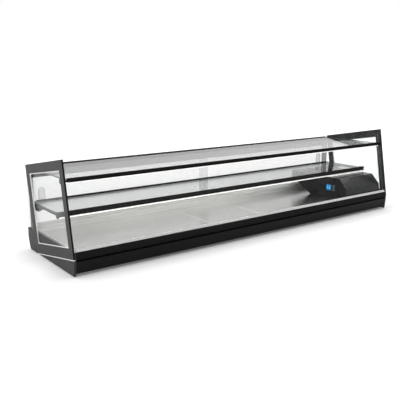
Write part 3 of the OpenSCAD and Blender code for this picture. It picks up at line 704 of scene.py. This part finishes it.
def turned_unit(name, profile_mm, sides=32, smooth=True):
    """A closed shape of revolution about Z from points of (radius, height)."""
    shape = bmesh.new()
    rings = []
    for radius, height in profile_mm:
        ring = []
        for k in range(sides):
            turn = 2 * math.pi * k / sides
            ring.append(shape.verts.new((radius * MM * math.cos(turn),
                                         radius * MM * math.sin(turn), height * MM)))
        rings.append(ring)
    for low, high in zip(rings, rings[1:]):
        for k in range(sides):
            after = (k + 1) % sides
            shape.faces.new((low[k], low[after], high[after], high[k]))
    shape.faces.new(reversed(rings[0]))
    shape.faces.new(rings[-1])
    bmesh.ops.recalc_face_normals(shape, faces=shape.faces)
    mesh = bpy.data.meshes.new(name)
    shape.to_mesh(mesh)
    shape.free()
    if smooth:
        smooth_by_angle(mesh)
    return mesh


# %% [markdown]
# ## Lamp boards
#
# Each board is a white strip with a lamp every 32 mm and a tiny resistor between each pair. The
# strip is the CAD board's own size, and the lamps hang from its underside.

# %% Lamp boards
LAMP_PITCH = 32 * MM
BOARD_T = 1.2 * MM
BOARD_ENDS = 10 * MM
LAMP_SIZE_MM = (2.8, 2.8, 0.8)
RESISTOR_SIZE_MM = (1.6, 0.8, 0.5)


def lamp_strip(node):
    low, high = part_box(node)
    middle_y = (low.y + high.y) / 2
    length = high.x - low.x
    count = int((length - BOARD_ENDS) / LAMP_PITCH)
    first_x = -(count - 1) / 2 * LAMP_PITCH
    strip = block_unit(f"{node}_strip", (length / MM, (high.y - low.y) / MM, BOARD_T / MM), 0.15)
    strip.transform(Matrix.Translation(((low.x + high.x) / 2, middle_y, high.z - BOARD_T)))
    strip.materials.append(lamp_board)
    lamp = block_unit(f"{node}_lamp", LAMP_SIZE_MM, 0.2)
    resistor = block_unit(f"{node}_resistor", RESISTOR_SIZE_MM, 0.1)
    lamp_z = high.z - BOARD_T - LAMP_SIZE_MM[2] * MM
    resistor_z = high.z - BOARD_T - RESISTOR_SIZE_MM[2] * MM
    lamps = row_mesh(f"{node}_lamps", lamp, lamp_glow,
                     (first_x, middle_y, lamp_z), (LAMP_PITCH, 0, 0), count)
    resistors = row_mesh(f"{node}_resistors", resistor, switch_black,
                         (first_x + LAMP_PITCH / 2, middle_y, resistor_z),
                         (LAMP_PITCH, 0, 0), count - 1)
    piece = joined_piece(f"{node}_piece", [strip, lamps, resistors])
    stand_for(piece, node)
    return count


print("lamps on each board:", lamp_strip("top_light_board"), lamp_strip("mid_light_board"))

# %% [markdown]
# ## Rubber feet
#
# A foot is a turned cone with four grip ribs round it and a hollow underneath, held by a plated
# stud. The profile is drawn once, and the row tree places three along the front and three at the
# rear.

# %% Feet
foot_low, foot_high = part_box("feet")
FOOT_H, FOOT_RIM_R, RIBS, RIB_PITCH = 9.9, 14.0, 4, 2.0
FEET_IN_ROW = 3
foot_profile = [(4.5, 3.0), (5.0, 0.0), (13.6, 0.0), (FOOT_RIM_R, 0.4)]
for rib in range(RIBS):
    base_h = 1.4 + rib * RIB_PITCH
    base_r = FOOT_RIM_R + base_h * 0.2
    foot_profile += [(base_r - 0.7, base_h), (base_r, base_h + 0.4), (base_r, base_h + 1.2)]
foot_profile += [(15.4, 9.4), (15.2, FOOT_H)]
foot_unit = turned_unit("foot_unit", foot_profile, 40)
stud_unit = turned_unit("stud_unit", [(2.5, FOOT_H), (2.5, 14.4), (2.1, 15.0)], 20)
foot_r = 16 * MM
feet_step = ((foot_high.x - foot_low.x) - 2 * foot_r) / (FEET_IN_ROW - 1)
foot_rows = []
for row, y in enumerate((foot_low.y + foot_r, foot_high.y - foot_r)):
    start = (foot_low.x + foot_r, y, 0.0)
    foot_rows.append(row_mesh(f"foot_row_{row}", foot_unit, foot_rubber, start,
                              (feet_step, 0, 0), FEET_IN_ROW))
    foot_rows.append(row_mesh(f"stud_row_{row}", stud_unit, zinc_steel, start,
                              (feet_step, 0, 0), FEET_IN_ROW))
feet_piece = joined_piece("feet_piece", foot_rows)
stand_for(feet_piece, "feet")
print("six feet,", len(feet_piece.data.polygons), "faces")

# %% [markdown]
# ## Rear panel: vent hoods and screws
#
# Behind the electrical bay the panel is slotted. Each slot has a small pressed hood that keeps
# drips out. Pan-head screws hold the panel along its top edge. Both are rows along X.

# %% Vent hoods and panel screws
panel_low, panel_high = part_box("rear_panel")
PANEL_FACE_Y = panel_high.y


def hood_unit():
    """A quarter-round pressed hood, 4.6 mm wide and 19 mm tall, open at its lower end."""
    shape = bmesh.new()
    depth, wide, tall, crown, steps = 1.7 * MM, 2.3 * MM, 19 * MM, 3 * MM, 6
    rings = []
    for x in (-wide, wide):
        ring = [shape.verts.new((x, 0, 0))]
        for k in range(steps + 1):
            turn = math.pi / 2 * k / steps
            ring.append(shape.verts.new((x, depth * math.cos(turn),
                                         tall - crown + crown * math.sin(turn))))
        ring.insert(1, shape.verts.new((x, depth, 0)))
        rings.append(ring)
    count = len(rings[0])
    for k in range(count):
        after = (k + 1) % count
        shape.faces.new((rings[0][k], rings[0][after], rings[1][after], rings[1][k]))
    shape.faces.new(rings[0])
    shape.faces.new(reversed(rings[1]))
    bmesh.ops.recalc_face_normals(shape, faces=shape.faces)
    mesh = bpy.data.meshes.new("hood_unit")
    shape.to_mesh(mesh)
    shape.free()
    smooth_by_angle(mesh)
    return mesh


VENT_FIRST_X, VENT_PITCH, VENT_COUNT = 0.542, 0.009, 12
HOOD_LOW_Z, HOOD_SINK = 52.5 * MM, 0.2 * MM
hoods = row_mesh("vent_hoods", hood_unit(), black_coat,
                 (VENT_FIRST_X, PANEL_FACE_Y - HOOD_SINK, HOOD_LOW_Z),
                 (VENT_PITCH, 0, 0), VENT_COUNT)
hood_piece = joined_piece("vent_hoods_piece", [hoods])
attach(hood_piece, "case")

screw_unit = turned_unit("pan_head", [(3.0, 0.0), (3.0, 0.5), (2.6, 1.1), (1.7, 1.5), (0.8, 1.6)],
                         24)
screw_unit.transform(Matrix.Rotation(-math.pi / 2, 4, "X"))
SCREW_COUNT, SCREW_INSET, SCREW_Z, SCREW_SINK = 7, 30 * MM, 76.5 * MM, 0.1 * MM
screw_span = panel_high.x - panel_low.x - 2 * SCREW_INSET
screws = row_mesh("panel_screws", screw_unit, zinc_steel,
                  (panel_low.x + SCREW_INSET, PANEL_FACE_Y - SCREW_SINK, SCREW_Z),
                  (screw_span / (SCREW_COUNT - 1), 0, 0), SCREW_COUNT)
screw_piece = joined_piece("panel_screws_piece", [screws])
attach(screw_piece, "case")
print(VENT_COUNT, "vent hoods and", SCREW_COUNT, "panel screws")

# %% [markdown]
# ## Deck seams
#
# The deck is pressed in three lengths, and two faint upright seams show on its rear upstand and
# run across the floor. Each is a flat weld, ground down to a fifth of a millimetre.

# %% Seams
SEAMS_X = (-0.180, 0.076)
DECK_SHEET = 1.2 * MM
UPSTAND_Y = 175 * MM
SEAM_SINK = 0.05 * MM
SEAM_MIDDLE_Y = -4 * MM
DECK_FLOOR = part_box("deck_pan")[0].z + DECK_SHEET
wall_y = UPSTAND_Y - DECK_SHEET
floor_seam = block_unit("floor_seam", (1.6, 352, 0.2), 0.05)
wall_seam = block_unit("wall_seam", (1.6, 0.2, 17), 0.05)
seam_step = (SEAMS_X[1] - SEAMS_X[0], 0, 0)
floor_seams = row_mesh("floor_seams", floor_seam, seam_and_lit_upstand_steel,
                       (SEAMS_X[0], SEAM_MIDDLE_Y, DECK_FLOOR - SEAM_SINK), seam_step,
                       len(SEAMS_X))
wall_seams = row_mesh("wall_seams", wall_seam, seam_and_lit_upstand_steel,
                      (SEAMS_X[0], wall_y - SEAM_SINK, DECK_FLOOR), seam_step,
                      len(SEAMS_X))
seam_piece = joined_piece("deck_seams_piece", [floor_seams, wall_seams])
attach(seam_piece, "case")
print("seams at", SEAMS_X)

# %% [markdown]
# ## Figures on the display and marks on the keys
#
# The screen shows a temperature in seven-bar figures, a plain set of numerals with no maker's
# look. Each figure is a list of which bars are lit. The keys carry a ring, an up arrow and a down
# arrow, raised by a tenth of a millimetre. They ride on their own key, so they move when it is
# pressed.

# %% Figures and marks
BARS = {
    "6": "afgedc",
    "5": "afgcd",
}


def flat_prism(shape, points, x_face, x_back):
    """A thin prism from an outline in (y, z), from x_face back to x_back."""
    front = [shape.verts.new((x_face, y, z)) for y, z in points]
    back = [shape.verts.new((x_back, y, z)) for y, z in points]
    count = len(points)
    shape.faces.new(front)
    shape.faces.new(reversed(back))
    for k in range(count):
        after = (k + 1) % count
        shape.faces.new((front[after], front[k], back[k], back[after]))


def figure_outlines(figure, y0, z0, wide, tall, bar):
    """The lit bars of one figure, as outlines. y runs down the screen's reading direction."""
    half = tall / 2
    boxes = {
        "a": (0, tall - bar, wide, tall), "d": (0, 0, wide, bar),
        "g": (0, half - bar / 2, wide, half + bar / 2),
        "f": (0, half, bar, tall), "b": (wide - bar, half, wide, tall),
        "e": (0, 0, bar, half), "c": (wide - bar, 0, wide, half),
    }
    outlines = []
    for letter in BARS[figure]:
        a, b, c, d = boxes[letter]
        outlines.append([(y0 - a, z0 + b), (y0 - c, z0 + b), (y0 - c, z0 + d), (y0 - a, z0 + d)])
    return outlines


def mark_piece(name, outlines, x_face, thick, finish, node):
    """A thin printed or lit mark that rides with a node's body."""
    shape = bmesh.new()
    for outline in outlines:
        flat_prism(shape, outline, x_face, x_face + thick)
    bmesh.ops.recalc_face_normals(shape, faces=shape.faces)
    mesh = bpy.data.meshes.new(name)
    shape.to_mesh(mesh)
    shape.free()
    mesh.materials.append(finish)
    piece = bpy.data.objects.new(name, mesh)
    bpy.context.scene.collection.objects.link(piece)
    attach(piece, body_of_node[node])
    return piece


screen_low, screen_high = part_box("display_module")
screen_y = (screen_low.y + screen_high.y) / 2
screen_z = (screen_low.z + screen_high.z) / 2
FIGURE_W, FIGURE_H, BAR_W = 6.5 * MM, 12 * MM, 1.5 * MM
FIRST_FIGURE_Y, FIGURE_PITCH = 9.5 * MM, 10 * MM
FIGURE_PROUD, FIGURE_T = 0.15 * MM, 0.2 * MM
outlines = []
for place, figure in enumerate("65"):
    left_y = screen_y + FIRST_FIGURE_Y - place * FIGURE_PITCH
    outlines += figure_outlines(figure, left_y, screen_z - FIGURE_H / 2, FIGURE_W, FIGURE_H, BAR_W)
mark_piece("display_figures", outlines, screen_low.x - FIGURE_PROUD, FIGURE_T, figure_glow,
           "display_module")


def ring_outlines(y, z, radius, bar, steps=20):
    """A ring as short quads."""
    quads = []
    for k in range(steps):
        a, b = (2 * math.pi * (k + e) / steps for e in (0, 1))
        inner = radius - bar
        quads.append([(y + radius * math.cos(a), z + radius * math.sin(a)),
                      (y + radius * math.cos(b), z + radius * math.sin(b)),
                      (y + inner * math.cos(b), z + inner * math.sin(b)),
                      (y + inner * math.cos(a), z + inner * math.sin(a))])
    return quads


def arrow_outline(y, z, size, way):
    return [[(y - size, z - way * size * 0.5), (y + size, z - way * size * 0.5),
             (y, z + way * size * 0.7)]]


# The key marks take the finish with a faint painted glow.
MARK_PROUD, MARK_T = 0.1 * MM, 0.15 * MM
RING_R, RING_BAR, ARROW_SIZE = 2.1 * MM, 0.6 * MM, 2.2 * MM
for key, way in (("power", 0), ("up", 1), ("down", -1)):
    key_low, key_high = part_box(f"key_{key}")
    key_y = (key_low.y + key_high.y) / 2
    key_z = (key_low.z + key_high.z) / 2
    if way == 0:
        outlines = ring_outlines(key_y, key_z, RING_R, RING_BAR)
    else:
        outlines = arrow_outline(key_y, key_z, ARROW_SIZE, way)
    mark_piece(f"key_{key}_mark", outlines, key_low.x - MARK_PROUD, MARK_T, painted_glow_mark,
               f"key_{key}")
print("figures and three key marks")

# %% [markdown]
# ## Studio
#
# A wide pale floor runs to the horizon. It has a glow of its own that grows with the distance
# from the case, so the soft shadow under the case stays and the far floor is as white as the
# background. The world is white to the eye, but what lights and mirrors in the case is dimmer at
# the front. That is what a studio does with a black screen behind the camera: the black fronts
# stay black while the pale doors stay bright.

# %% Floor
FLOOR_HALF = 40.0
floor_shape = bmesh.new()
bmesh.ops.create_grid(floor_shape, x_segments=1, y_segments=1, size=FLOOR_HALF)
floor_mesh = bpy.data.meshes.new("studio_floor")
floor_shape.to_mesh(floor_mesh)
floor_shape.free()
studio_floor = bpy.data.objects.new("studio_floor", floor_mesh)
bpy.context.scene.collection.objects.link(studio_floor)
floor_white, floor_tree, floor_shader = new_finish("floor_white")
floor_patches = noise_on(floor_tree, stretched_coordinates(floor_tree, (1, 1, 1)), 0.8)
floor_tree.links.new(two_tones(floor_tree, floor_patches, (0.9,) * 3, (0.92,) * 3),
                     floor_shader.inputs["Base Color"])
floor_shader.inputs["Specular IOR Level"].default_value = 0.1
floor_place = floor_tree.nodes.new("ShaderNodeTexCoord")
floor_distance = floor_tree.nodes.new("ShaderNodeVectorMath")
floor_distance.operation = "LENGTH"
floor_tree.links.new(floor_place.outputs["Object"], floor_distance.inputs[0])
floor_glow = floor_tree.nodes.new("ShaderNodeMapRange")
NEAR_GLOW, FAR_GLOW = 0.1, 0.45
for label, value in (("From Min", 0.5), ("From Max", 3.0), ("To Min", NEAR_GLOW),
                     ("To Max", FAR_GLOW)):
    floor_glow.inputs[label].default_value = value
floor_tree.links.new(floor_distance.outputs["Value"], floor_glow.inputs["Value"])
floor_tree.links.new(floor_glow.outputs["Result"], floor_shader.inputs["Emission Strength"])
set_sockets(floor_shader, Roughness=0.85, Emission_Color=(1, 1, 1, 1))
floor_mesh.materials.append(floor_white)
print("floor", 2 * FLOOR_HALF, "m wide")

# %% Lamps and world
def soft_lamp(name, place, aim, size, watts, tint=(1.0, 1.0, 1.0)):
    lamp = bpy.data.lights.new(name, "AREA")
    lamp.shape = "RECTANGLE"
    lamp.size, lamp.size_y = size
    lamp.energy = watts
    lamp.color = tint
    holder = bpy.data.objects.new(name, lamp)
    holder.location = place
    holder.rotation_euler = (Vector(aim) - Vector(place)).to_track_quat("-Z", "Y").to_euler()
    bpy.context.scene.collection.objects.link(holder)


soft_lamp("overhead_lamp", (0.2, 0.2, 3.2), (0, 0, 0), (4.5, 3.0), 46)
soft_lamp("left_lamp", (-3.6, 0.4, 1.6), (0, 0, 0.2), (2.2, 2.2), 10)

STRIP_INSET, STRIP_W, STRIP_LEAN, STRIP_DROP = 10 * MM, 8 * MM, 0.05, 0.2
WARM_WHITE = (1.0, 0.98, 0.95)
for tier, watts in (("top", 1.3), ("mid", 0.7)):
    cover_low, cover_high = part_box(f"{tier}_light_cover")
    middle_y = (cover_low.y + cover_high.y) / 2
    strip_z = cover_low.z - 1 * MM
    strip_aim = (0, middle_y + STRIP_LEAN, strip_z - STRIP_DROP)
    soft_lamp(f"{tier}_strip_lamp", (0, middle_y, strip_z), strip_aim,
              (cover_high.x - cover_low.x - 2 * STRIP_INSET, STRIP_W), watts, WARM_WHITE)
FRONT_GLOW, BACK_GLOW = 0.34, 1.0
world = bpy.data.worlds.new("studio_white")
world.use_nodes = True
air = world.node_tree
direction = air.nodes.new("ShaderNodeTexCoord")
parts = air.nodes.new("ShaderNodeSeparateXYZ")
fade = air.nodes.new("ShaderNodeMapRange")
fade.interpolation_type = "SMOOTHSTEP"
for label, value in (("From Min", -0.75), ("From Max", 0.05), ("To Min", FRONT_GLOW),
                     ("To Max", BACK_GLOW)):
    fade.inputs[label].default_value = value
air.links.new(direction.outputs["Generated"], parts.inputs["Vector"])
air.links.new(parts.outputs["Y"], fade.inputs["Value"])
ray = air.nodes.new("ShaderNodeLightPath")
seen = air.nodes.new("ShaderNodeMath")
seen.operation = "MAXIMUM"
air.links.new(fade.outputs["Result"], seen.inputs[0])
air.links.new(ray.outputs["Is Camera Ray"], seen.inputs[1])
air.links.new(seen.outputs[0], air.nodes["Background"].inputs["Strength"])
air.nodes["Background"].inputs["Color"].default_value = (1, 1, 1, 1)
bpy.context.scene.world = world
bpy.context.scene.view_settings.view_transform = "Standard"
print("two soft lamps and two strip lamps")

# %% [markdown]
# ## Camera
#
# The camera stands at the front left, a little above the case, and looks slightly down. A 52 mm
# lens keeps the perspective of a product shot.

# %% Camera
camera = bpy.data.cameras.new("front_left_camera")
camera.lens = 52.28
camera.sensor_width = 36.0
camera_stand = bpy.data.objects.new("front_left_camera", camera)
camera_stand.location = (-1.5203, -1.8368, 0.6474)
camera_stand.rotation_euler = (math.radians(90 - 12.66), 0, math.radians(-36.58))
bpy.context.scene.collection.objects.link(camera_stand)
bpy.context.scene.camera = camera_stand
print("camera", [round(v, 3) for v in camera_stand.location])
